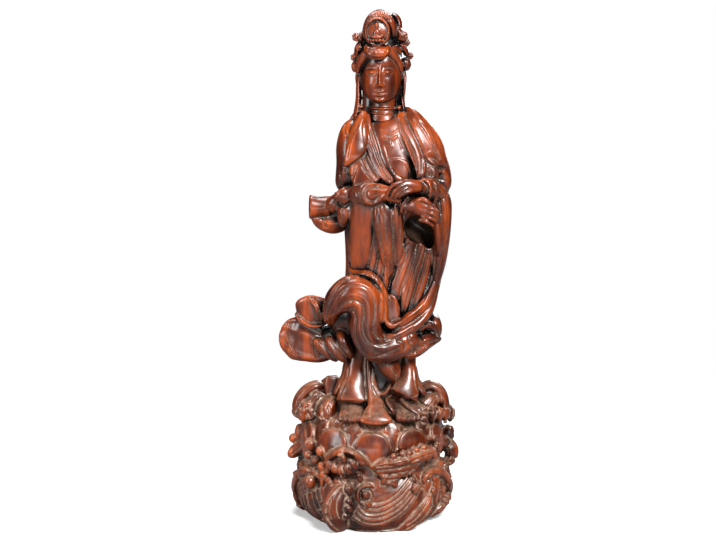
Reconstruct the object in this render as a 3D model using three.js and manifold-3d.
// A standing guanyin in wind-blown robes on a lotus that rises out of waves, carved whole from one block of
// rosewood. Millimetres, +Z up, the front of the figure faces -Y. The origin is the middle of the underside.
import * as THREE from "three";
import { mergeVertices } from "three/addons/utils/BufferGeometryUtils.js";
import Module from "manifold-3d";

const wasm = await Module();
wasm.setup();

// Driving sizes of the carving.
const figureHeight = 392; // from the rim of the lotus to the top of the hair
const plinthHeight = 108; // from the underside to the rim of the lotus
const plinthWidth = 154; // across the waves, left to right
const plinthDepth = 140; // across the waves, front to back
const petalCount = 10; // petals in each tier of the lotus
const petalHeight = 36;
const petalWidth = 34;
const frontPetalShare = 1.12; // the petal in front is this much broader
const petalThickness = 7;
const tierStep = 8; // each tier of petals stands this much higher than the one before it
const tierSetback = 4.5; // and this much further in
const wavePatterns = 3; // the waves repeat round the plinth, with the first of them in front
const ridgeThickness = 6.5; // a ridge of water
const foamSize = 8.5; // one drop of foam
const toeSize = 5;
const faceBudget = 9800; // faces of the finished solid

// The carving is drawn at these sizes, and each part of it follows the driving sizes from there.
const drawn = {
  figureHeight: 392, plinthHeight: 108, plinthWidth: 154, plinthDepth: 140,
  ridgeThickness: 6.5, foamSize: 8.5, toeSize: 5,
};
const share = figureHeight / drawn.figureHeight;
const faceHalfWidth = 20.2; // the figure's sizes are as drawn
const faceTurn = 1.6; // the face looks a little to the left
const headMiddle = 8; // the head stands a little to the right of the plinth's middle
const hairline = 347;
const woodColour = 0x7a2f16;

// The front is drawn on the upright plane through the middle, as it is seen from this place.
const eye = { x: -14, y: -1200, z: 460 };

const rad = THREE.MathUtils.degToRad;
const front = [0, -1, 0];

// A curve through points of any length, read at a share of its length from 0 to 1.
function reader(points) {
  const last = points.length - 1;
  return (along) => {
    const place = THREE.MathUtils.clamp(along, 0, 1) * last;
    const i = Math.min(Math.floor(place), last - 1);
    const t = place - i;
    const [a, b] = [points[i], points[i + 1]];
    const before = points[i - 1] ?? a;
    const after = points[i + 2] ?? b;
    return b.map((_, k) => {
      const slopeIn = (b[k] - before[k]) / 2;
      const slopeOut = (after[k] - a[k]) / 2;
      const rise = b[k] - a[k];
      const bend = 3 * rise - 2 * slopeIn - slopeOut + t * (slopeIn + slopeOut - 2 * rise);
      return a[k] + t * (slopeIn + t * bend);
    });
  };
}

// A closed solid from a geometry whose faces may point either way.
function solid(geometry) {
  geometry.deleteAttribute("normal");
  geometry.deleteAttribute("uv");
  const merged = mergeVertices(geometry, 1e-4);
  const corners = merged.index.array;
  const kept = [];
  for (let i = 0; i < corners.length; i += 3) {
    const [a, b, c] = corners.slice(i, i + 3);
    if (a !== b && b !== c && a !== c) kept.push([a, b, c]);
  }
  const build = (faces) => {
    const triVerts = new Uint32Array(faces.flat());
    return new wasm.Manifold(
      new wasm.Mesh({ numProp: 3, vertProperties: merged.attributes.position.array, triVerts }),
    );
  };
  const made = build(kept);
  return made.volume() > 0 ? made : build(kept.map(([a, b, c]) => [a, c, b]));
}

// A ball is the carver's blank: each of its points is moved by where it is along the axis and around it.
function fromBlank(sides, rows, place) {
  const blank = new THREE.SphereGeometry(1, sides, rows);
  const points = blank.getAttribute("position");
  for (let i = 0; i < points.count; i++) {
    const along = Math.acos(THREE.MathUtils.clamp(points.getY(i), -1, 1)) / Math.PI;
    const angle = Math.atan2(points.getZ(i), points.getX(i));
    const ring = Math.round(along * rows) / rows;
    points.setXYZ(i, ...place(ring, angle));
  }
  return solid(blank);
}

// A limb, fold or band: stations of [x, y, z, half width, half depth] along its spine, as drawn.
// Its width lies square to the spine and to the way it faces. Flutes run along it, and cup hollows its face.
function form(stations, options = {}) {
  const { facing = front, sides = 8, rows = stations.length * 2, ends = 0.18 } = options;
  const { flutes = 0, fluteDepth = 0, cup = 0 } = options;
  const scaled = stations.map((s) => s.map((value) => value * share));
  const read = reader(scaled);
  const face = new THREE.Vector3(...facing).normalize();
  return fromBlank(sides, rows, (ring, angle) => {
    const [x, y, z, halfWidth, halfDepth] = read(ring);
    const ahead = new THREE.Vector3(...read(ring + 0.02).slice(0, 3));
    const along = ahead.sub(new THREE.Vector3(...read(ring - 0.02).slice(0, 3)));
    const across = along.clone().cross(face).normalize();
    const out = across.clone().cross(along).normalize();
    const toEnd = Math.min(ring, 1 - ring);
    const rounding = toEnd >= ends ? 1 : Math.sqrt(1 - (1 - toEnd / ends) ** 2);
    const wide = Math.cos(angle) * rounding;
    const faced = rounding * Math.max(0, Math.sin(angle));
    const ripple = fluteDepth * share * Math.cos(flutes * Math.PI * wide) * faced;
    const deep = Math.sin(angle) * rounding * halfDepth + ripple;
    const hollow = cup * share * (wide * wide - 0.5) * rounding;
    return new THREE.Vector3(x, y, z + plinthHeight)
      .addScaledVector(across, wide * halfWidth)
      .addScaledVector(out, deep + hollow)
      .toArray();
  });
}

// A rounded lump of the figure, with its half sizes.
function lump([x, y, z], [halfX, halfY, halfZ], sides = 8, rows = 6) {
  const ball = new THREE.SphereGeometry(share, sides, rows).rotateX(Math.PI / 2);
  ball.scale(halfX, halfY, halfZ).translate(x * share, y * share, z * share + plinthHeight);
  return solid(ball);
}

const joined = (solids) => solids.reduce((whole, next) => whole.add(next));

// A table read at a level of one of its columns, which rises from row to row.
function readAt(rows, column, level) {
  const found = rows.findIndex((row, i) => i > 0 && row[column] >= level);
  const upper = found < 0 ? rows.length - 1 : found;
  const [low, high] = [rows[upper - 1], rows[upper]];
  const t = THREE.MathUtils.clamp((level - low[column]) / (high[column] - low[column]), 0, 1);
  return low.map((value, k) => THREE.MathUtils.lerp(value, high[k], t));
}

// A station drawn as it is seen, moved to its own depth.
function fromEye([x, y, z, ...sizes]) {
  const near = 1 - y / eye.y;
  return [eye.x + (x - eye.x) * near, y, eye.z + (z - eye.z) * near, ...sizes];
}

// The same kind of solid as form(), with its stations drawn as they are seen.
function seen([stations, options]) {
  const placed = stations.map(fromEye).map(([x, y, z, ...sizes]) => [x, y, z - drawn.plinthHeight, ...sizes]);
  return form(placed, options);
}

// The robe's main mass: [middle x, middle y, height, half width, half depth].
const robeRings = [
  [10, 3, 300, 14, 13], [13, 3, 290, 30, 19], [14.5, 2, 280, 39, 25], [15, 1, 266, 43, 29],
  [15, 0, 246, 43, 32], [16, 0, 224, 43, 33], [18, 0, 204, 43, 34], [21, 0, 180, 44.5, 34],
  [21.5, 0, 156, 44.5, 34], [21, 0, 134, 44, 34], [18, 0, 112, 45, 36], [14, 0, 92, 42, 36],
  [10, 0, 74, 37, 32], [7, 0, 54, 34, 27], [6, 0, 34, 34, 25], [7, 0, 14, 38, 28], [8, 0, -6, 42, 31],
];
const robeByHeight = reader(robeRings.map(([x, y, , a, b]) => [x, y, a, b]));

// A point on the robe: degrees round from the front towards +X, its height, and how far it stands out.
const robeUpwards = [...robeRings].reverse();
function onRobe(degrees, height, out = 0) {
  const [x, y, , halfWidth, halfDepth] = readAt(robeUpwards, 2, height);
  const [sin, cos] = [Math.sin(rad(degrees)), Math.cos(rad(degrees))];
  return [x + (halfWidth + out) * sin, y - (halfDepth + out) * cos, height];
}

// A station drawn as it is seen, which stands out of the front of the robe by its second number.
function onFront([x, out, z, ...sizes]) {
  const flattest = 0.04; // at the robe's sides its front still counts as this deep
  let y = -30;
  for (let round = 0; round < 4; round++) {
    const [realX, , realZ] = fromEye([x, y, z]);
    const [middle, back, , wide, deep] = readAt(robeUpwards, 2, realZ - drawn.plinthHeight);
    y = back - deep * Math.sqrt(Math.max(1 - ((realX - middle) / wide) ** 2, flattest)) - out;
  }
  return [x, y, z, ...sizes];
}

// A fold laid on the robe along [degrees, height] points, thickest in its middle.
function fold([path, thickness]) {
  const stations = path.map(([degrees, height], i) => {
    const swell = Math.sin((Math.PI * (i + 0.6)) / (path.length + 0.2));
    const thick = thickness * (0.45 + 0.55 * swell);
    return [...onRobe(degrees, height, thickness * 0.1), thick, thick];
  });
  const [middle] = path.slice(Math.floor(path.length / 2));
  const facing = [Math.sin(rad(middle[0])), -Math.cos(rad(middle[0])), 0];
  return form(stations, { facing, sides: 5, rows: 7, ends: 0.3 });
}

// Long folds down and across the back: [degrees round from the front, height] along each, and its thickness.
const backFolds = [
  [[[112, 238], [118, 190], [112, 140], [104, 88]], 5.5],
  [[[136, 246], [140, 200], [134, 150], [124, 92]], 6],
  [[[158, 200], [162, 160], [156, 120], [146, 78]], 6],
  [[[182, 214], [184, 168], [180, 124], [170, 74]], 6.5],
  [[[206, 204], [208, 160], [202, 118], [194, 76]], 6],
  [[[228, 246], [226, 198], [224, 150], [218, 88]], 6],
  [[[250, 238], [246, 190], [246, 140], [244, 86]], 5.5],
  [[[128, 232], [160, 214], [200, 214], [236, 232]], 4],
  [[[122, 252], [158, 238], [202, 238], [240, 252]], 4],
  [[[100, 226], [100, 180], [96, 140], [90, 96]], 4.5],
  [[[262, 226], [260, 180], [258, 140], [258, 100]], 4.5],
];

// Upper arms that hang, and forearms that cross in front of the waist.
const armForms = [
  [[[-13, 0, 396, 8, 11], [-20, -2, 384, 11, 14], [-22, -4, 370, 13, 16], [-22, -6, 354, 13, 17],
    [-22, -10, 338, 14, 17], [-22, -18, 328, 14, 14]]],
  [[[46, 0, 394, 10, 12], [50, -2, 382, 12, 14], [54, -4, 368, 13, 16], [60, -6, 352, 14, 18],
    [63, -10, 336, 14, 18], [60, -20, 328, 13, 14]]],
  [[[-24, -20, 322, 10, 12], [-10, -34, 323, 11, 12], [2, -41, 323, 11, 11], [12, -46, 324, 8, 8],
    [20, -50, 321, 5, 6], [30, -51, 316, 5, 6]]],
  [[[64, -24, 326, 11, 13], [56, -38, 328, 9, 10], [47, -46, 330, 7, 8], [36, -51, 331, 6, 6],
    [26, -54, 330, 5, 5]]],
  [[[47, -44, 338, 2, 5], [54, -46, 335, 3, 7], [56, -46, 327, 3, 7], [53, -46, 318, 2, 5]]],
  [[[54, -38, 339, 2, 5], [61, -39, 333, 3, 7], [62, -39, 323, 3, 7], [58, -40, 313, 2, 5]]],
];

// Cloth down the middle, the great sleeve, and the sleeve that is blown out to the side.
const sleeveForms = [
  [[[9, -40, 318, 9, 7], [11, -44, 300, 10, 7], [13, -44, 280, 9.5, 6], [15, -42, 262, 8, 5.5],
    [19, -39, 246, 5, 4], [22, -36, 236, 1, 2]], { sides: 12 }],
  [[[24, -44, 318, 4, 6], [24, -46, 300, 4.5, 6], [25, -45, 282, 5, 5], [25, -42, 264, 4, 4],
    [23, -38, 250, 1, 2]]],
  [[[62, -14, 332, 14, 18], [64, -14, 312, 13.5, 18], [65, -15, 292, 12, 18], [65, -15, 272, 10, 16],
    [64, -16, 254, 8, 13], [62, -18, 236, 5, 8], [61, -18, 224, 2, 3]], { sides: 12 }],
  [[[58, -34, 318, 5, 7], [62, -34, 304, 4, 7], [64, -34, 290, 4, 7], [65, -32, 276, 4, 6],
    [65, -28, 262, 3, 5]]],
  [[[-28, -10, 312, 9, 10], [-42, -12, 312, 9.5, 10], [-52, -13, 311, 10, 10], [-62, -14, 311, 12, 10]
   ], { ends: 0.04 }],
  [[[-26, -8, 298, 9, 9], [-38, -10, 295, 10.5, 8], [-50, -12, 297, 8, 6], [-59, -14, 303, 3, 4]
   ], { sides: 12 }],
  [[[-46, -16, 310, 2, 4], [-40, -20, 312, 7, 6], [-34, -22, 318, 7, 6], [-30, -20, 326, 3, 4]]],
  [[[-36, -26, 321, 2, 3], [-31, -30, 321, 7.5, 6], [-24, -30, 322, 8, 6], [-18, -26, 324, 3, 4]]],
  [[[-22, -24, 316, 8, 6], [-26, -26, 306, 8.5, 8], [-28, -25, 298, 6, 6], [-29, -22, 292, 2, 3]]],
];

// The leaves of the cape, and the collars and bands that frame the chest.
const shoulderForms = [
  [[[-7, -16, 404, 4, 4], [-12, -22, 390, 7.5, 5], [-15, -27, 374, 10.5, 5], [-19, -29, 362, 9, 5],
    [-27, -27, 350, 1.5, 2]], { facing: [-0.4, -1, 0.1], cup: -3 }],
  [[[33, -8, 406, 5, 6], [42, -15, 394, 10, 6], [50, -18, 380, 13, 6], [58, -18, 366, 12, 6],
    [65, -15, 356, 7, 4], [70, -12, 351, 1.5, 2]], { facing: [0.4, -1, 0.1], cup: -3, sides: 12 }],
  [[[-7, -15, 402, 3.5, 4], [-6, -24, 388, 4, 4], [-1, -30, 372, 4.5, 4], [4, -34, 356, 4.5, 4],
    [11, -39, 343, 4.5, 4], [20, -42, 335, 3, 3]], { ends: 0.08, sides: 12 }],
  [[[-11, -26, 366, 3, 3], [-7, -31, 356, 4, 4], [-2, -34, 346, 4, 4], [5, -38, 336, 3, 3]
   ], { ends: 0.08, sides: 12 }],
  [[[27, -15, 402, 3.5, 4], [30, -24, 388, 4, 4], [36, -30, 374, 4.5, 4], [42, -33, 362, 5, 4],
    [46, -34, 350, 4.5, 4], [47, -35, 338, 3, 3]], { ends: 0.08, sides: 12 }],
  [[[39, -22, 386, 3, 4], [45, -26, 372, 4, 4], [51, -27, 358, 4, 4], [53, -28, 344, 3, 3]], { ends: 0.1 }],
  [[[15, -24, 374, 12, 4], [20, -26, 358, 14, 5], [24, -29, 345, 14, 5], [26, -32, 334, 10, 4]]],
];

// Folds laid on the front of the robe, which stand out of it by their second number.
const laidFolds = [
  [[[38, -1, 280, 5, 4], [34, 0, 262, 6.5, 5], [29, 0, 244, 7, 5.5], [23, 0, 228, 6.5, 5],
    [18, -1, 214, 4, 4]]],
  [[[47, -1, 280, 4.5, 4], [43, 0, 260, 5.5, 5], [37, 0.5, 242, 6, 5.5], [32, 0.5, 224, 6, 5.5],
    [28, 0, 206, 4, 4]]],
  [[[54, -1, 276, 4, 4], [50, 0, 256, 5.5, 5], [46, 1, 238, 6, 5.5], [41, 1, 222, 6, 5.5],
    [36, 0, 204, 4, 4]]],
  [[[59, -1, 266, 3, 4], [57, 0, 248, 3.5, 5], [53, 1, 232, 4, 5.5], [48, 1, 218, 4, 5], [44, 0, 206, 3, 4]
   ]],
  [[[9, 4, 306, 3, 5], [7, 4, 286, 3.5, 5], [3, 4, 266, 3.5, 5], [-3, 3, 248, 3, 4]]],
  [[[-3, 6, 324, 15, 8], [-5, 5, 306, 15.5, 9], [-7, 4, 286, 15, 9], [-8, 3, 266, 14, 9],
    [-7, 1, 246, 12, 7]], { ends: 0.1 }],
  [[[-22, 2, 274, 2, 4], [-18, 3, 267, 2.5, 4], [-14, 3, 264, 2, 4], [-9, 4, 267, 1, 2]]],
  [[[-22, 2, 265, 2, 4], [-18, 3, 258, 2.5, 4], [-14, 3, 255, 2, 4], [-9, 4, 258, 1, 2]]],
  [[[-22, 2, 256, 2, 4], [-19, 3, 250, 2.5, 4], [-13, 3, 247, 2, 4], [-8, 4, 249, 1, 2]]],
];

// Under-skirts that flare over each foot, and the drape between them.
const skirtForms = [
  [[[-12, -14, 168, 13, 11], [-15, -20, 150, 11, 9], [-16, -26, 136, 13, 8], [-18, -32, 124, 15, 8],
    [-19, -37, 113, 17, 7]], { ends: 0.06 }],
  [[[-26, -10, 156, 3, 6], [-28, -16, 142, 3, 7], [-33, -20, 130, 3.5, 7], [-38, -24, 120, 3, 5]]],
  [[[34, -14, 166, 10, 10], [36, -19, 150, 8, 8], [36, -24, 138, 10, 8], [34, -30, 127, 13, 8],
    [31, -34, 119, 15, 7]], { ends: 0.06 }],
  [[[42, -10, 152, 3, 6], [44, -15, 140, 3, 7], [48, -20, 128, 3.5, 6], [54, -24, 120, 3, 4]]],
  [[[-4, -24, 160, 4, 6], [-3, -29, 144, 4, 6], [-2, -34, 130, 4, 6], [1, -40, 118, 6, 6],
    [4, -46, 110, 9, 6], [4, -53, 101, 13, 6], [4, -60, 94, 16, 4], [4, -64, 90, 12, 2]
   ], { facing: [0, -1, 0.5] }],
  [[[12, -30, 168, 11, 7], [16, -36, 154, 11, 8], [21, -38, 143, 8, 6], [23, -38, 136, 3, 4]], { cup: -2 }],
  [[[1, -28, 150, 1.5, 4], [3, -33, 134, 1.8, 4], [8, -37, 123, 1.8, 4], [14, -37, 124, 1.8, 4],
    [19, -33, 133, 1.5, 4]]],
  [[[17, -26, 120, 2, 5], [15, -36, 114, 2.5, 5], [20, -42, 106, 2.5, 5], [24, -44, 99, 2, 3]]],
  [[[30, -28, 116, 3, 6], [37, -36, 109, 3, 6], [44, -40, 103, 3, 5], [51, -42, 98, 2, 3]]],
];

// The rolled hem that arches over the left knee, its rims, and the train blown out to the left.
const hemForms = [
  [[[-42, -24, 196, 6, 7], [-40, -34, 207, 9, 9], [-33, -41, 217, 14, 10], [-20, -46, 224, 17.5, 11],
    [-8, -47, 219, 17, 11], [-5, -47, 204, 15.5, 11], [-6, -47, 190, 15.5, 11], [-1, -47, 176, 15, 11],
    [9, -47, 168.5, 14, 10], [21, -46, 171, 13.5, 9], [33, -43, 177, 12, 8], [44, -40, 184, 9, 6]
   ], { ends: 0.05, sides: 12 }],
  [[[28, -36, 166, 6, 6], [40, -34, 168, 9, 7], [52, -30, 176, 9, 7], [62, -25, 179, 6, 5],
    [69, -22, 179, 1.5, 2]], { sides: 12 }],
  [[[44, -32, 186, 4, 5], [52, -30, 193, 4, 5], [60, -26, 191, 4, 5], [66, -22, 182, 2, 3]]],
  [[[34, -36, 174, 5, 6], [40, -35, 166, 5, 6], [38, -32, 160, 3, 4]]],
  [[[14, -40, 166, 5, 6], [24, -42, 170, 6, 7], [31, -41, 168, 3, 4]]],
  [[[10, -41, 226, 3, 4], [12, -44, 211, 3.5, 5], [13, -45, 198, 3.5, 5], [20, -46, 192, 4, 5],
    [29, -44, 195, 4.5, 5], [37, -42, 201, 5, 5], [46, -38, 208, 5, 5], [55, -32, 219, 5, 5],
    [61, -24, 234, 4, 4], [66, -18, 250, 2, 3]], { sides: 12 }],
  [[[17, -42, 222, 3, 4], [19, -45, 210, 6, 5], [20, -46, 201, 5.5, 5], [20, -46, 196, 3, 3]
   ], { cup: 1.5 }],
  [[[-2, -44, 185, 3, 3], [8, -48, 181, 4, 4], [20, -49, 181, 4.5, 5], [32, -46, 186, 5, 5],
    [44, -42, 193, 5, 5], [53, -36, 203, 4.5, 5], [60, -29, 216, 3.5, 4], [66, -22, 234, 1.5, 3]]],
  [[[-22, -18, 252, 3, 4], [-18, -29, 246, 3.4, 4], [-12, -35, 244, 3.6, 4], [-4, -39, 244, 3.6, 4],
    [4, -41, 238, 3.4, 4], [11, -42, 226, 3, 3], [16, -43, 216, 2, 2]]],
  [[[-22, 2, 184, 11, 9], [-36, -4, 180, 14, 8], [-50, -9, 176, 18, 9], [-63, -11, 174, 20, 9],
    [-76, -10, 176, 20, 8], [-85, -7, 180, 14, 5], [-90, -5, 184, 5, 3]
   ], { cup: -3, ends: 0.12, sides: 12 }],
  [[[-38, -8, 208, 9, 8], [-48, -14, 209, 12, 9], [-59, -17, 208, 15.5, 9], [-68, -16, 208, 13, 7],
    [-75, -13, 207, 6, 4]], { cup: 4, ends: 0.14 }],
  [[[-62, -20, 221, 2, 3], [-56, -24, 214, 3, 5], [-52, -25, 205, 3, 5], [-50, -22, 196, 2, 3]]],
  [[[-76, -14, 205, 2, 4], [-70, -20, 197, 2.5, 5], [-62, -23, 192, 2.5, 5], [-52, -24, 192, 2.5, 5],
    [-44, -22, 196, 2, 4]]],
  [[[-57, -16, 178, 3, 5], [-52, -20, 174, 6, 6], [-44, -22, 166, 6, 6], [-34, -20, 156, 3, 4]]],
  [[[-45, -22, 181, 3, 5], [-40, -26, 174, 6, 7], [-34, -28, 165, 6, 7], [-25, -25, 155, 3, 4]]],
  [[[-32, -18, 186, 4, 6], [-29, -29, 178, 5.5, 8], [-25, -32, 169, 5, 7], [-20, -29, 159, 3, 4]]],
];

// What is carved away: inside the blown sleeve, under the lower hand and under the arch of the hem.
const sleeveMouth = [[-48, -13, 311, 2, 2], [-56, -14, 311, 7, 6], [-70, -15, 311, 10.5, 9]];
const underHand = [
  [35, -34, 299, 6, 20], [43, -30, 290, 12, 32], [53, -28, 281, 9, 30], [57, -30, 270, 3, 14],
];
const underArch = [
  [-45, -38, 186, 3, 8], [-39, -42, 193, 7.5, 17], [-31, -43, 197, 7.5, 18], [-25, -42, 190, 5, 15],
];

function robes() {
  const cape = [[18, 14, 298, 14, 9], [12, 26, 284, 34, 8], [13, 30, 266, 42, 7], [13, 32, 250, 38, 4]];
  const cloth = joined([
    form(robeRings, { sides: 26, rows: 20, ends: 0.03 }),
    form(cape, { facing: [0, 1, 0], cup: -6, sides: 14 }),
    ...backFolds.map(fold), ...[armForms, sleeveForms, shoulderForms, skirtForms].flat().map(seen),
    ...laidFolds.map(([stations, options]) => seen([stations.map(onFront), options])),
  ]);
  const inside = seen([sleeveMouth, { ends: 0.1, sides: 10 }]);
  return cloth.subtract(inside).subtract(seen([underHand, { sides: 10 }]));
}

function hem() {
  const behind = [
    [62, -14, 80, 8, 13], [58, 10, 84, 9, 14], [44, 26, 76, 9, 13], [18, 35, 84, 10, 14], [-8, 33, 76, 9, 13],
    [-28, 22, 84, 10, 14], [-40, 4, 88, 9, 14],
  ];
  const knee = lump([-26, -14, 100], [18, 14, 26], 10, 8);
  const round = form(behind, { facing: [0, 0, 1], rows: 18, ends: 0.08 });
  return joined([...hemForms.map(seen), round, knee]).subtract(seen([underArch, { sides: 10 }]));
}

// The upper hand lies over the other wrist, and the lower hand hangs from under it.
const handForms = [
  [[[48, -50, 330, 5, 6], [38, -54, 331, 7, 5], [30, -56, 331, 6.5, 4.5], [24, -57, 329, 4, 4]]],
  [[[25, -46, 317, 5, 6], [34, -50, 312, 5.5, 6], [43, -55, 312, 8, 6], [51, -58, 309, 8, 5],
    [57, -58, 305, 6, 4]]],
  [[[42, -57, 317, 2.4, 2.6], [50, -61, 318, 2.5, 2.6], [56, -61, 314, 2.2, 2.4], [61, -60, 309, 1.5, 1.6]
   ]],
];

// Fingers as [x, height] along each: four of the upper hand, then four of the lower one.
const fingers = [
  [[34, 335], [26, 334.5], [18, 330], [14, 321]],
  [[36, 332.5], [29, 331.5], [21.5, 326.5], [18, 318.5]],
  [[38, 330], [32, 328.5], [25, 324], [22, 318.5]],
  [[40, 327.5], [35, 326], [28.5, 323], [26, 319.5]],
  [[48, 310], [57, 309.5], [63, 306], [66.5, 301]],
  [[48, 306], [57, 305], [63, 301.5], [66.5, 297]],
  [[47, 302], [55, 300.5], [61, 298], [64.5, 294.5]],
  [[45, 298.5], [52, 297], [57, 294.5], [60, 292]],
];

// How deep each finger lies along its length, for the upper and the lower hand, and its half thickness.
const fingerDepths = [[-56, -59, -60, -56], [-59, -62, -61, -57]];
const fingerThickness = [2.3, 2.05, 1.8, 1.55];
// Bands of the sleeve at the lower wrist, as [x, height] along each.
const wrists = [
  [[28, 305], [30, 314], [36, 322]], [[32, 304], [34, 313], [40, 320]], [[36, 304], [38, 311], [44, 317.5]],
];

function hands() {
  const fingerForms = fingers.map((path, i) => {
    const depths = fingerDepths[i < fingers.length / 2 ? 0 : 1];
    const thick = fingerThickness;
    return [path.map(([x, z], k) => [x, depths[k], z, thick[k], thick[k]]), { sides: 5, rows: 6 }];
  });
  const bands = wrists.map((path) => [path.map(([x, z], k) => [x, -51 - k, z, 1.8, 3.5]), { sides: 6 }]);
  return [...handForms, ...fingerForms, ...bands].map(seen);
}

// The front of each foot shows under the skirts: a low wedge with long toes. [x, y, how far it turns out]
function feet() {
  const size = toeSize / drawn.toeSize;
  return [[-20, -47, -0.25], [33, -44, 0.25]].flatMap(([x, y, turn]) => {
    const wedge = [[x + 3 * turn, y + 30, 12, 11, 9], [x, y + 16, 8, 12, 7], [x, y, 3.4, 12, 4]];
    const toes = [-2, -1, 0, 1, 2].map((toe) => {
      const thick = (2.6 - 0.22 * toe * Math.sign(turn)) * size;
      const [toeX, toeY] = [x + toe * 4.7 + 6 * turn, y - 4 + Math.abs(toe) * 1.2];
      const spine = [[toeX - 3 * turn, toeY + 9, 6.5], [toeX, toeY, 4.6], [toeX + 2 * turn, toeY - 7, 3]];
      return form(spine.map((point) => [...point, thick, thick]), { facing: [0, 0, 1], sides: 6, rows: 5 });
    });
    return [form(wedge, { facing: [0, 0, 1], sides: 10 }), ...toes];
  });
}

// The head from the crown down: [height, half width, half depth, how far back its middle lies].
const headRings = [
  [368, 0, 0, 2], [364, 13, 14, 2], [354, 18.6, 20.5, 1], [344, 20.2, 22.5, -1], [336, 20.4, 22.5, -2],
  [327, 20, 21.5, -3], [318, 18.4, 20, -4], [311, 15, 17.8, -5.6], [306, 10, 13.6, -8], [302.6, 0, 0, -10],
];

// Where the face swells and sinks: [aside, height, half breadth, half height, rise], on both sides.
const faceRelief = [
  [8.2, 337.2, 5.5, 2.6, -1.5], [8.2, 333.4, 4.4, 2.7, 2.2], [8.2, 329.4, 4.6, 1.6, -0.5],
  [0, 332, 1.7, 6.5, 2.4], [0, 325, 1.8, 4, 2.2], [0, 321.4, 2.3, 2.1, 3.2], [2.9, 320.7, 1.4, 1.4, 1.9],
  [0, 317.6, 1.6, 1.2, -0.7], [1.7, 315.4, 2.1, 1.1, 1.3], [0, 312, 3, 1.3, 1.6],
  [5.8, 314, 1.2, 1.3, -0.8], [0, 309.6, 3.4, 1, -0.8], [0, 306.4, 4.2, 2.4, 1.2], [10.5, 322, 5.5, 6, 1.3],
  [7, 346, 8, 5, 0.6],
];

// Topknot, loops of hair, crown plate, plaque, ribbons and leaves of the crown.
const hairForms = [
  [[[8, 2, 476, 14, 15], [8, 3, 486, 12.5, 13], [8.5, 3, 495, 10.5, 11], [9, 3, 500, 6, 7]
   ], { ends: 0.3, flutes: 5, fluteDepth: 0.7 }],
  [[[-10, -12, 470, 4, 6], [-9.5, -15, 481, 4.5, 6], [-5, -17, 490, 4.5, 6], [3, -18, 494, 4.5, 6],
    [12, -17, 492, 5, 6], [18, -14, 484, 5, 7], [20, -11, 473, 5, 7]], { sides: 12 }],
  [[[18, -4, 495, 3, 4], [23, -6, 492, 3.5, 5], [25, -8, 485, 3.5, 5], [22, -10, 477, 3, 4]
   ], { sides: 12 }],
  [[[4, -21, 464, 4, 5], [-3, -20.5, 460.5, 4.4, 5], [-9, -17, 455, 4.4, 6], [-12.8, -12, 448, 3.4, 6],
    [-14.2, -7, 440, 1.6, 5]], { sides: 12 }],
  [[[8, -21, 464, 4, 5], [15, -20, 461, 4.6, 5], [21, -16.5, 455.5, 4.6, 6], [25.4, -12, 448, 3.6, 6],
    [27.4, -7, 440, 1.6, 5]], { sides: 12 }],
  [[[-8.5, -20, 469, 3, 3.5], [-6.5, -24, 463, 5, 4], [-1.5, -27.5, 460.4, 6, 4.5],
    [4.2, -28.5, 460, 6.2, 4.5], [10, -27.5, 460.8, 6, 4.5], [15, -24, 463.5, 5, 4],
    [17.5, -19, 469, 3, 3.5]], { facing: [0, -1, 0.35], sides: 12 }],
  [[[15, -20, 462, 3, 4], [21, -17, 463, 3.6, 4], [26, -14, 460, 3, 4]], { sides: 12 }],
  [[[4.2, -20, 466, 8, 3], [4.2, -23, 472, 10.6, 3], [4.2, -24, 480, 11, 3], [4.2, -22, 491, 8, 3]
   ], { ends: 0.25 }],
  [[[3.8, -26, 488, 0.9, 1.2], [3.8, -27.5, 485, 1.9, 2], [3.8, -27.5, 482, 1.3, 1.6]], { ends: 0.5 }],
  [[[3.8, -27, 482.4, 1.2, 1.6], [3.8, -27.6, 479.6, 3, 2.2], [3.8, -27.6, 476.6, 3.4, 2.4],
    [3.8, -27.6, 474.4, 2.2, 2]], { ends: 0.3 }],
  [[[-1.8, -27, 475, 1, 1.6], [1.2, -28.8, 474, 1.5, 2], [6.4, -28.8, 474, 1.5, 2], [9.4, -27, 475, 1, 1.6]
   ]],
  [[[29, -4, 442, 1.8, 3], [30.5, -6, 430, 1.5, 3], [30, -8, 418, 1.3, 2.5]]],
  [[[-13, -2, 440, 2, 4], [-13.5, -3, 428, 2.5, 5], [-13.5, -5, 415, 3, 6], [-15, -8, 402, 3.5, 6],
    [-17, -10, 394, 3, 5]], { sides: 12 }],
  [[[27.5, 0, 420, 3, 6], [29, -2, 410, 3, 6], [31, -6, 400, 3.5, 6], [34, -10, 392, 3, 5]], { sides: 12 }],
  [[[-14, -6, 452, 3, 3], [-16.5, -7, 447, 4, 4], [-17, -6, 441, 2, 3]], { sides: 12 }],
  [[[30, -7, 455, 3, 3], [32, -7, 449, 5, 4], [31, -6, 442.5, 3, 3]], { sides: 12 }],
  [[[-9, -12, 481, 3, 4], [-12.5, -13, 477, 4.4, 5], [-12, -13, 471, 3, 4]]],
  [[[22, -13, 482, 3, 4], [26, -13, 477, 4.4, 5], [25, -14, 470, 3, 4]], { sides: 12 }],
  [[[-11, -12, 470, 2.5, 4], [-14, -11, 463, 3.5, 5], [-15, -9, 455, 2.5, 4]], { sides: 12 }],
  [[[26, -14, 469, 3, 4], [30, -11, 463, 3.5, 5], [33, -8, 457, 2.5, 4]], { sides: 12 }],
];

// Blossoms of the crown: [x, depth, height, radius].
const blossoms = [
  [-15.5, -16, 474, 4], [29, -16, 475, 4.6], [32, -11, 469, 3.6], [-17.5, -10, 455, 3.6],
  [35.5, -9, 456.5, 3.4], [-13, -16, 464, 3.2], [29, -15, 464.5, 3.4], [-16.5, -11, 446, 3],
  [31.5, -12, 449, 3.4],
];

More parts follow.
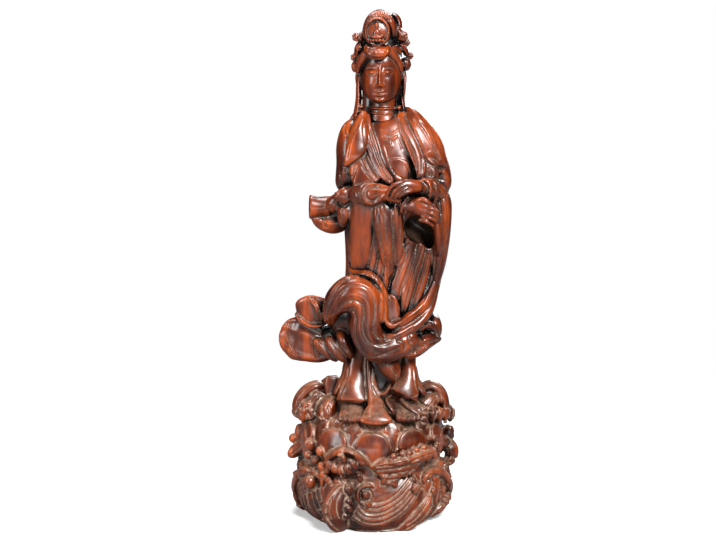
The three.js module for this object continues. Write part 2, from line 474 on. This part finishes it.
function faceAndSkull() {
  const read = reader(headRings);
  return fromBlank(30, 26, (ring, angle) => {
    const turned = angle - Math.PI / 2;
    const bearing = turned - 0.45 * Math.sin(turned);
    const [height, halfWidth, halfDepth, back] = read(ring);
    const aside = halfWidth * Math.sin(bearing);
    const fore = Math.max(0, Math.cos(bearing)) * Math.min(1, halfWidth / 8);
    const rise = faceRelief.reduce((sum, [x, z, breadth, tall, amount]) => {
      const across = Math.min(Math.abs(aside - faceTurn - x), Math.abs(aside - faceTurn + x)) / breadth;
      return sum + amount * Math.exp(-across * across - ((height - z) / tall) ** 2);
    }, 0);
    const y = back - halfDepth * Math.cos(bearing) - rise * fore;
    return [(headMiddle - aside) * share, y * share, height * share + plinthHeight];
  });
}

// The head with its long ear lobes, a neck with rings, and the hair at its back.
function head() {
  const middle = headMiddle;
  const parts = [
    faceAndSkull(),
    form([[10, -3, 314, 13, 13], [10, -4, 300, 13.5, 13], [10, -4, 284, 19, 17]], { sides: 12 }),
    lump([middle - faceTurn, -23.4, hairline - 4], [1.4, 1.6, 1.4], 6, 4),
    form([[middle, 9, 312, 14, 12], [middle, 8, 326, 20, 20], [middle, 5, 342, 21.5, 23],
      [middle, 3, 354, 20.5, 22], [middle, 3, 366, 17, 18], [middle, 4, 375, 12, 12]], { sides: 16 }),
    form([[8, 22, 352, 17, 8], [9, 22, 326, 19, 8], [10, 17, 304, 20, 9], [12, 22, 284, 24, 9],
      [13, 28, 262, 25, 8], [13, 32, 236, 20, 7], [14, 33, 208, 6, 5]],
      { facing: [0, 1, 0], sides: 14, flutes: 4, fluteDepth: 1.6 }),
  ];
  for (const side of [-1, 1]) {
    const x = middle + side * faceHalfWidth;
    parts.push(form([[x, 1, 339, 2.6, 3.4], [x + side * 1.5, 0, 328, 3, 3],
      [x + side * 0.5, -3, 314, 2.2, 2.4], [x, -5, 306, 3, 2.8]], { sides: 6 }));
  }
  for (const ring of [299, 294, 289]) parts.push(lump([10, -5, ring], [15.5, 14.5, 2.4], 12, 4));
  const crown = blossoms.map(([x, y, z, radius]) => {
    const [realX, realY, realZ] = fromEye([x, y + radius * 0.3, z]);
    return lump([realX, realY, realZ - drawn.plinthHeight], [radius * 1.1, radius * 1.2, radius * 1.1], 7, 5);
  });
  return [...parts, ...hairForms.map(seen), ...crown];
}

const figure = () => joined([robes(), hem(), ...feet(), ...head(), ...hands()]);

// The plinth's outline from its underside up: [share of its height, share of its half width].
const plinthRings = [
  [0, 0], [0, 0.8], [0.04, 0.88], [0.12, 0.94], [0.26, 0.98], [0.4, 0.96], [0.52, 0.9], [0.66, 0.88],
  [0.8, 0.86], [0.92, 0.8], [1, 0.72], [1.01, 0.4], [1.02, 0],
];

// A point on the plinth: degrees round from the front towards +X, a height, and how far it stands out.
const plinthWall = plinthRings.slice(1, -1);
function onPlinth(degrees, height, out = 0) {
  const [, reach] = readAt(plinthWall, 0, height / plinthHeight);
  const [sin, cos] = [Math.sin(rad(degrees)), Math.cos(rad(degrees))];
  return [((plinthWidth / 2) * reach + out) * sin, -((plinthDepth / 2) * reach + out) * cos, height];
}

function plinthCore() {
  const rows = plinthRings.length - 1;
  return fromBlank(36, rows, (ring, angle) => {
    const [level, reach] = plinthRings[Math.round(ring * rows)];
    const [x, y] = [(plinthWidth / 2) * reach * Math.cos(angle), (plinthDepth / 2) * reach * Math.sin(angle)];
    return [x, y, level * plinthHeight];
  });
}

// The same kind of solid as form(), with its stations in millimetres of the plinth.
function plinthForm(stations, options) {
  const lowered = stations.map(([x, y, z, ...sizes]) => [x, y, z - plinthHeight, ...sizes]);
  return form(lowered.map((station) => station.map((value) => value / share)), options);
}

const outwards = (degrees, lift = 0) => [Math.sin(rad(degrees)), -Math.cos(rad(degrees)), lift];

// A petal stands on its pointed foot, bulges out and ends in a round rim.
function petal(degrees, foot, out, broader = 1) {
  const shape = [[0, 0, 0.1], [0.3, 0.9, 0.68], [0.6, 1, 1], [0.86, 0.6, 0.92], [1, 0, 0.84]];
  const half = (petalWidth / 2) * broader;
  const stations = shape.map(([up, bulge, wide]) => {
    const place = onPlinth(degrees, foot + petalHeight * up, out + (bulge * petalThickness) / 3);
    return [...place, half * wide, petalThickness / 2];
  });
  const cup = -(half ** 2 / plinthWidth) / share;
  return plinthForm(stations, { facing: outwards(degrees, 0.1), sides: 10, rows: 8, ends: 0.34, cup });
}

function lotus() {
  const step = 360 / petalCount;
  const foot = plinthHeight - petalHeight - tierStep;
  const parts = [];
  for (let i = 0; i < petalCount; i++) {
    parts.push(petal(i * step, foot, 0, i === 0 ? frontPetalShare : 1));
    parts.push(petal((i + 0.5) * step, foot + tierStep, -tierSetback * 0.7));
    parts.push(petal(i * step, foot + tierStep * 1.7, -tierSetback * 1.4));
  }
  return parts;
}

// Waves of the front: [x, how far out of the plinth, height, half width, half depth].
const waveForms = [
  [[[-50, 4, 47, 4, 6], [-42, 7, 54, 6.5, 8], [-31, 9, 59, 7.5, 9], [-19, 9, 58, 7, 9], [-9, 7, 52, 6, 8],
    [-1, 3, 46, 2, 4]]],
  [[[-33, 15, 58, 1.6, 3], [-29, 16, 56, 2.2, 4], [-27, 15, 51, 2.4, 4]]],
  [[[-3, 2, 45, 2, 4], [10, 5, 48.5, 4.5, 7], [24, 7, 51, 5.5, 8], [38, 7, 55, 6, 9], [52, 7, 60, 6.5, 9],
    [62, 5, 65, 5, 8]], { sides: 12 }],
  [[[2, 1, 41, 2, 4], [13, 3, 42, 4.5, 5], [26, 4, 43.5, 5.5, 6], [38, 4, 47, 5.5, 6], [48, 3, 52, 4, 5]
   ], { sides: 12 }],
  [[[9, 0, 28, 2, 2.5], [3, 1, 31, 2.6, 3], [-6, 1, 29, 3, 3.4], [-12, 1, 21, 3, 3.4], [-12, 1, 11, 3, 3.4],
    [-5, 1, 4, 2.8, 3], [5, 0.6, 4, 2.4, 2.6]]],
  [[[-1, 0, 22, 3, 3], [-2, 2, 17, 4.5, 5], [-1, 1.5, 12, 3, 3]], { ends: 0.4 }],
  [[[-21, 2, 28, 4, 4], [-29, 3, 22, 8, 7], [-35, 4, 11, 11, 9], [-37, 4, -1, 11.5, 9],
    [-35, 3, -13, 10, 8], [-30, 0, -24, 6, 4]]],
  [[[-50, 0, 24, 3, 4], [-50, 1, 34, 4, 5], [-57, 2, 41, 5, 7], [-67, 2, 42, 5, 8], [-74, 1, 36, 4.5, 8],
    [-76, 0, 25, 4.5, 8], [-74, -1, 12, 4, 7], [-68, -2, 0, 4, 5]], { facing: [-0.5, -1, 0] }],
  [[[52, 0, 26, 3, 4], [54, 1, 35, 4, 5], [61, 2, 41, 4.5, 6], [69, 2, 41, 4.5, 7], [75, 1, 33, 4.5, 8],
    [75, 0, 20, 4.5, 8], [70, 0, 6, 4.5, 7], [60, 0, -8, 4, 5]], { facing: [0.5, -1, 0] }],
  [[[-30, -1, -24, 4, 4], [-12, 0.5, -26, 4, 4], [8, 1, -27, 4.5, 4], [26, 1, -22, 5, 5],
    [42, 1, -11, 5.5, 5], [54, 1, 4, 5, 5], [60, 0, 18, 3.5, 4]]],
  [[[-66, 2, 70, 4, 6], [-74, 4, 66, 6, 8], [-80, 5, 60, 5.5, 8], [-84, 4, 56, 2, 4]
   ], { facing: [-0.6, -1, 0.2] }],
  [[[66, 2, 74, 4, 6], [74, 4, 71, 7, 8], [80, 5, 64, 7, 9], [79, 4, 54, 5, 8], [72, 3, 48, 4, 6]
   ], { facing: [0.6, -1, 0.2], cup: 2, sides: 12 }],
  [[[54, 2, 66, 2, 3], [60, 4, 66, 2.4, 3], [67, 4, 69, 2.4, 3], [69, 4, 74, 2.4, 3], [62, 4, 76, 2.4, 3],
    [54, 3, 74, 2, 3]], { facing: [0.5, -1, 0] }],
  [[[-69, 1, 74, 4, 5], [-72, 3, 82, 5.5, 7], [-71, 1, 91, 4, 5]], { facing: [-0.7, -1, 0] }],
  [[[72, 1, 76, 4, 5], [77, 3, 83, 5.5, 7], [76, 1, 90, 4, 5]], { facing: [0.7, -1, 0] }],
  [[[-31, 2, 17, 2, 3], [-25, 4, 18, 2.8, 3.4], [-20.5, 3.5, 15, 2.4, 3]], { ends: 0.4 }],
  [[[-32, 3, 10, 2, 3], [-25, 5, 10, 2.9, 3.4], [-20, 4, 6.5, 2.5, 3]], { ends: 0.4 }],
  [[[-32, 3, 3, 2, 3], [-25, 5, 2, 2.9, 3.4], [-20, 4, -2, 2.5, 3]], { ends: 0.4 }],
  [[[-32, 3, -3, 2, 3], [-27, 5, -6, 2.8, 3.4], [-23, 4, -10, 2.4, 3]], { ends: 0.4 }],
  [[[-34, 3, -7, 2, 3], [-31, 5, -11, 2.6, 3.4], [-28, 4, -15, 2.2, 3]], { ends: 0.4 }],
];

// Drops of foam at the front: [x, how far out, height, radius, how much taller than wide].
const drops = [
  [-63, 4, 30, 7.5, 1], [-79, 3, 76, 5, 1], [-73, 5, 73, 4.4, 1], [-62, 6, 69, 5.6, 1.1],
  [-64, 6, 59, 5, 1], [-57, 4, 53, 4.8, 1], [-52, 7, 62, 4, 1], [-51, 6, 46, 4.4, 1.1],
  [-49, 4, 38, 4.4, 1], [-44, 4, 32, 4.2, 1], [-45, 6, 42, 3.6, 1], [-40, 4, 26, 4, 1],
  [-34, 6, 30, 4.4, 1], [-27, 4, 33, 4, 1], [-24, 6, 22, 5, 1], [-12, 2, 33, 3, 1.2], [-14, 5, 38, 3.4, 1],
  [10, 3, 38, 3.2, 1], [14, 4, 34, 4, 1], [18, 4, 39, 3.8, 1], [22, 5, 34, 4.2, 1.2], [27, 5, 38, 4.6, 1.2],
  [23, 3, 28, 3.4, 1], [17, 3, 29, 3.2, 1], [12, 2, 30, 2.8, 1], [33, 5, 40, 4.4, 1.1], [37, 6, 45, 4.4, 1],
  [43, 6, 48, 4.6, 1.1], [40, 5, 41, 3.8, 1], [49, 6, 53, 4.6, 1], [22, 10, 56, 3.4, 1.2],
  [31, 11, 59, 3.6, 1], [38, 11, 60, 3.8, 1], [45, 11, 63, 3.6, 1], [52, 10, 65, 4, 1], [58, 9, 62, 4.2, 1],
  [63, 8, 58, 4, 1], [56, 8, 55, 3.8, 1], [45, 2, 23, 3.4, 1.6], [63, 1.5, 33, 3.2, 1.3],
  [65, 1.5, 26, 3, 1.2], [62, 1.5, 19, 3, 1.3], [58, 1.5, 10, 3.2, 1.4], [71, 4, 87, 3.6, 1],
  [79, 3, 79, 4.6, 1], [80, 3, 71, 4.2, 1],
];

// Lobes of rock and spray round the feet.
const shoreForms = [
  [[[-72, -8, 98, 5, 8], [-75, -6, 108, 5.5, 9], [-72, -5, 118, 6, 9], [-64, -4, 127, 6, 9],
    [-54, -3, 131, 5, 8], [-47, -4, 127, 2, 4]]],
  [[[-62, -14, 94, 8, 12], [-60, -12, 105, 10, 12], [-55, -10, 116, 9, 11], [-50, -8, 124, 6, 8]
   ], { sides: 12 }],
  [[[-70, -18, 94, 5, 8], [-69, -18, 104, 5, 8], [-65, -16, 112, 4, 7], [-58, -14, 115, 2, 4]]],
  [[[-48, -26, 94, 9, 14], [-46, -24, 104, 10, 13], [-42, -20, 113, 8, 11], [-36, -16, 119, 4, 6]
   ], { sides: 12 }],
  [[[-44, -14, 114, 3, 5], [-42, -12, 124, 5, 6], [-41, -10, 134, 7, 6], [-40, -9, 141, 5, 5]
   ], { ends: 0.1, cup: 2 }],
  [[[42, -6, 116, 4, 7], [50, -5, 127, 5, 8], [60, -4, 131, 5.5, 9], [69, -5, 124, 5.5, 9],
    [73, -6, 113, 5, 9], [73, -8, 102, 5, 8]]],
  [[[46, -20, 96, 10, 14], [51, -17, 106, 12, 13], [58, -13, 116, 9, 11], [62, -10, 122, 5, 7]
   ], { sides: 12 }],
  [[[60, -12, 108, 2, 4], [66, -12, 114, 3, 5], [66, -10, 121, 3, 5], [60, -10, 125, 2, 4]]],
  [[[28, -24, 112, 4, 8], [38, -26, 106, 7, 9], [48, -28, 99, 8, 9], [56, -28, 94, 5, 6]]],
  [[[76, -2, 112, 2.5, 5], [78.5, -4, 105, 4, 6], [77, -4, 98, 3, 5]], { ends: 0.4 }],
];

// A station drawn as it is seen, which stands out of the front of the plinth by its second number.
function onWater([x, out, z, ...sizes]) {
  let y = -55;
  for (let round = 0; round < 6; round++) {
    const [realX, , realZ] = fromEye([x, y, z]);
    const [, reach] = readAt(plinthWall, 0, realZ / drawn.plinthHeight);
    const across = 1 - (realX / ((drawn.plinthWidth / 2) * reach + out)) ** 2;
    y = -((drawn.plinthDepth / 2) * reach + out) * Math.sqrt(THREE.MathUtils.clamp(across, 0, 1));
  }
  return fromEye([x, y, z, ...sizes]);
}

// A station of the plinth as drawn, moved to follow the plinth's own sizes.
const fitted = ([x, y, z, ...sizes], growth = 1) => [
  (x * plinthWidth) / drawn.plinthWidth, (y * plinthDepth) / drawn.plinthDepth,
  (z * plinthHeight) / drawn.plinthHeight, ...sizes.map((size) => size * growth),
];

function frontWater() {
  const [thicker, larger] = [ridgeThickness / drawn.ridgeThickness, foamSize / drawn.foamSize];
  return [
    ...waveForms.map(([stations, options]) =>
      plinthForm(stations.map((station) => fitted(onWater(station), thicker)), options)),
    ...drops.map(([x, out, z, radius, tall]) => {
      const [realX, realY, realZ, size] = fitted(onWater([x, out, z, radius]), larger);
      const drop = new THREE.SphereGeometry(size, 6, 4).rotateX(Math.PI / 2);
      return solid(drop.scale(1, 1, tall).translate(realX, realY, realZ));
    }),
    ...shoreForms.map(([stations, options]) =>
      plinthForm(stations.map((station) => fitted(fromEye(station), thicker)), options)),
  ];
}

// The waves behind: [degrees, share of the height] along each ridge, with its thickness.
const ridges = [
  [[[-2, 0.39], [2, 0.43], [-2, 0.46], [-7, 0.41], [-6, 0.33], [1, 0.3], [11, 0.32], [22, 0.4],
    [33, 0.5]], 0.8],
  [[[-16, 0.13], [3, 0.08], [19, 0.13], [30, 0.26], [38, 0.38]], 1.3],
  [[[-22, 0.43], [-29, 0.36], [-34, 0.23], [-33, 0.1], [-26, 0.04]], 1.5],
  [[[-80, 0.18], [-81, 0.36], [-74, 0.46], [-59, 0.51], [-43, 0.49], [-35, 0.4]], 1.5],
  [[[-47, 0.64], [-37, 0.69], [-26, 0.73], [-16, 0.73], [-6, 0.68], [2, 0.57]], 1.3],
  [[[-6, 0.58], [12, 0.62], [25, 0.65], [40, 0.68], [56, 0.72]], 1.6],
  [[[-1, 0.5], [9, 0.49], [20, 0.52], [31, 0.59], [43, 0.65]], 1.6],
  [[[50, 0.5], [62, 0.44], [72, 0.3], [70, 0.12]], 1.4],
];

// Drops of foam behind: [degrees, share of the plinth's height, size].
const foam = [
  [-55, 0.42, 1.6], [-30, 0.57, 1], [-24, 0.57, 1.1], [-18, 0.62, 1], [-12, 0.6, 1.1], [-6, 0.64, 1],
  [5, 0.47, 1], [9, 0.43, 1.1], [14, 0.46, 1], [20, 0.48, 1.1], [26, 0.5, 1], [31, 0.54, 1.1],
  [38, 0.59, 1.1], [46, 0.7, 1.2], [57, 0.68, 1.2], [-19, 0.4, 1], [-16, 0.33, 1], [-21, 0.25, 1.2],
  [-18, 0.19, 1.1], [-23, 0.14, 1], [56, 0.44, 0.9],
];

function waterBehind() {
  const spread = 0.8;
  const parts = [];
  for (let pattern = 1; pattern < wavePatterns; pattern++) {
    const around = (pattern * 360) / wavePatterns;
    for (const [path, thick] of ridges) {
      const half = (ridgeThickness / 2) * thick;
      const stations = path.map(([degrees, level]) => {
        const height = Math.max(level * plinthHeight, half);
        return [...onPlinth(around + degrees * spread, height), half, half];
      });
      const facing = outwards(around + path[Math.floor(path.length / 2)][0] * spread);
      parts.push(plinthForm(stations, { facing, sides: 5, rows: 4 + path.length, ends: 0.12 }));
    }
    for (const [degrees, level, size] of foam) {
      const drop = new THREE.SphereGeometry((foamSize / 2) * size, 6, 4);
      parts.push(solid(drop.translate(...onPlinth(around + degrees * spread, level * plinthHeight))));
    }
  }
  return parts;
}

// Spray behind the feet: [x, y, height over the lotus, half width, half depth].
const plumes = [
  [[[-44, 38, -18, 13, 11], [-48, 38, -2, 12, 11], [-42, 34, 12, 12, 10], [-28, 32, 18, 7, 8]]],
  [[[44, 40, -18, 13, 11], [48, 38, -2, 12, 11], [40, 36, 12, 12, 10], [26, 34, 18, 7, 8]]],
  [[[2, 52, -18, 18, 11], [2, 50, -2, 17, 11], [4, 44, 12, 13, 10], [12, 38, 18, 7, 7]]],
  [[[-20, 46, -14, 11, 9], [-24, 48, -2, 9, 9], [-16, 44, 8, 7, 8]]],
  [[[24, 48, -14, 11, 9], [28, 48, -2, 9, 9], [20, 44, 8, 7, 8]]],
  [[[-62, 6, -16, 9, 12], [-64, 6, -2, 9, 12], [-58, 6, 10, 8, 10]]],
  [[[62, 6, -16, 9, 12], [64, 6, -2, 9, 12], [58, 6, 10, 8, 10]]],
];

function spray() {
  return plumes.map(([stations]) => {
    const lifted = stations.map(([x, y, z, ...sizes]) => fitted([x, y, z + drawn.plinthHeight, ...sizes]));
    return plinthForm(lifted, { rows: 8, facing: [0, lifted[0][1] < 20 ? -1 : 1, 0.3] });
  });
}

// Joined folds can shut small gaps in, which wood fills: each shell that is turned inside out is left away.
function withoutSealedGaps(points, faces) {
  const shell = points.map((_, i) => i);
  const root = (i) => {
    while (shell[i] !== i) i = shell[i] = shell[shell[i]];
    return i;
  };
  for (const [a, b, c] of faces) {
    shell[root(b)] = root(a);
    shell[root(c)] = root(a);
  }
  const volumes = new Map();
  for (const [a, b, c] of faces) {
    const wedge = points[a].dot(new THREE.Vector3().crossVectors(points[b], points[c]));
    volumes.set(root(a), (volumes.get(root(a)) ?? 0) + wedge);
  }
  return faces.filter(([a]) => volumes.get(root(a)) > 0);
}

// How far a point lies from a set of planes, as the ten sums of their squares.
const planeSums = ({ x, y, z }, w) => [x * x, x * y, x * z, x * w, y * y, y * z, y * w, z * z, z * w, w * w];
function squaresAt([xx, xy, xz, xw, yy, yz, yw, zz, zw, ww], { x, y, z }) {
  const mixed = xy * x * y + xz * x * z + yz * y * z + xw * x + yw * y + zw * z;
  return xx * x * x + yy * y * y + zz * z * z + ww + 2 * mixed;
}

// The joins leave many slivers. Corners slide onto a neighbour, the flattest places first, down to the budget
// of faces. The head keeps finer forms than the rest.
const careFrom = plinthHeight + 300 * share;
const headCare = 10;
function pareDown(points, faces, budget) {
  const around = points.map(() => new Set());
  const sums = points.map(() => new Array(10).fill(0));
  const normalOf = ([a, b, c]) => {
    const side = new THREE.Vector3().subVectors(points[b], points[a]);
    return side.cross(new THREE.Vector3().subVectors(points[c], points[a]));
  };
  for (const face of faces) {
    const normal = normalOf(face);
    const area = normal.length() / 2;
    normal.normalize();
    const plane = planeSums(normal, -normal.dot(points[face[0]]));
    const care = points[face[0]].z > careFrom ? headCare : 1;
    for (const corner of face) {
      around[corner].add(face);
      plane.forEach((value, k) => (sums[corner][k] += value * area * care));
    }
  }
  const neighbours = (corner) => new Set([...around[corner]].flat().filter((other) => other !== corner));
  const keepsShape = (from, to) => {
    const shared = [...neighbours(from)].filter((corner) => neighbours(to).has(corner));
    if (shared.length !== 2) return false;
    return [...around[from]].every((face) => {
      if (face.includes(to)) return true;
      const before = normalOf(face);
      const after = normalOf(face.map((corner) => (corner === from ? to : corner)));
      return after.length() > 1e-6 && before.dot(after) > 0.25 * before.length() * after.length();
    });
  };
  let count = faces.length;
  for (let limit = 1e-5; count > budget && limit < 1e4; limit *= 1.6)
    for (let from = 0; from < points.length && count > budget; from++) {
      if (!around[from].size) continue;
      const costs = [...neighbours(from)].map((to) => {
        const both = sums[from].map((value, k) => value + sums[to][k]);
        return [squaresAt(both, points[to]), to];
      });
      costs.sort(([a], [b]) => a - b);
      const found = costs.find(([cost, to]) => cost < limit && keepsShape(from, to));
      if (!found) continue;
      const to = found[1];
      for (const face of around[from]) {
        if (face.includes(to)) {
          for (const corner of face) if (corner !== from) around[corner].delete(face);
          count--;
          continue;
        }
        face[face.indexOf(from)] = to;
        around[to].add(face);
      }
      around[from].clear();
      sums[from].forEach((value, k) => (sums[to][k] += value));
    }
  return [...new Set(around.flatMap((set) => [...set]))];
}

// Nothing reaches below the underside: a slab as high as the plinth is taken away there.
const below = new THREE.BoxGeometry(plinthWidth * 2, plinthDepth * 2, plinthHeight);
below.translate(0, 0, -plinthHeight / 2);
const water = [...frontWater(), ...waterBehind(), ...spray()];
const carving = joined([plinthCore(), ...lotus(), ...water, figure()]).subtract(solid(below));
const { vertProperties, triVerts } = carving.getMesh();
const corners = Array.from({ length: vertProperties.length / 3 }, (_, i) =>
  new THREE.Vector3().fromArray(vertProperties, i * 3));
const allFaces = Array.from({ length: triVerts.length / 3 }, (_, i) => [...triVerts.slice(i * 3, i * 3 + 3)]);
const faces = pareDown(corners, withoutSealedGaps(corners, allFaces), faceBudget);
const flat = new Float32Array(faces.flat().flatMap((corner) => corners[corner].toArray()));
const loose = new THREE.BufferGeometry().setAttribute("position", new THREE.BufferAttribute(flat, 3));
const geometry = mergeVertices(loose);
const wood = new THREE.MeshStandardMaterial({ color: woodColour, roughness: 0.38, metalness: 0 });
const guanyin = new THREE.Mesh(geometry, wood);
guanyin.name = "guanyin";
const group = new THREE.Group();
group.add(guanyin);

export default group;
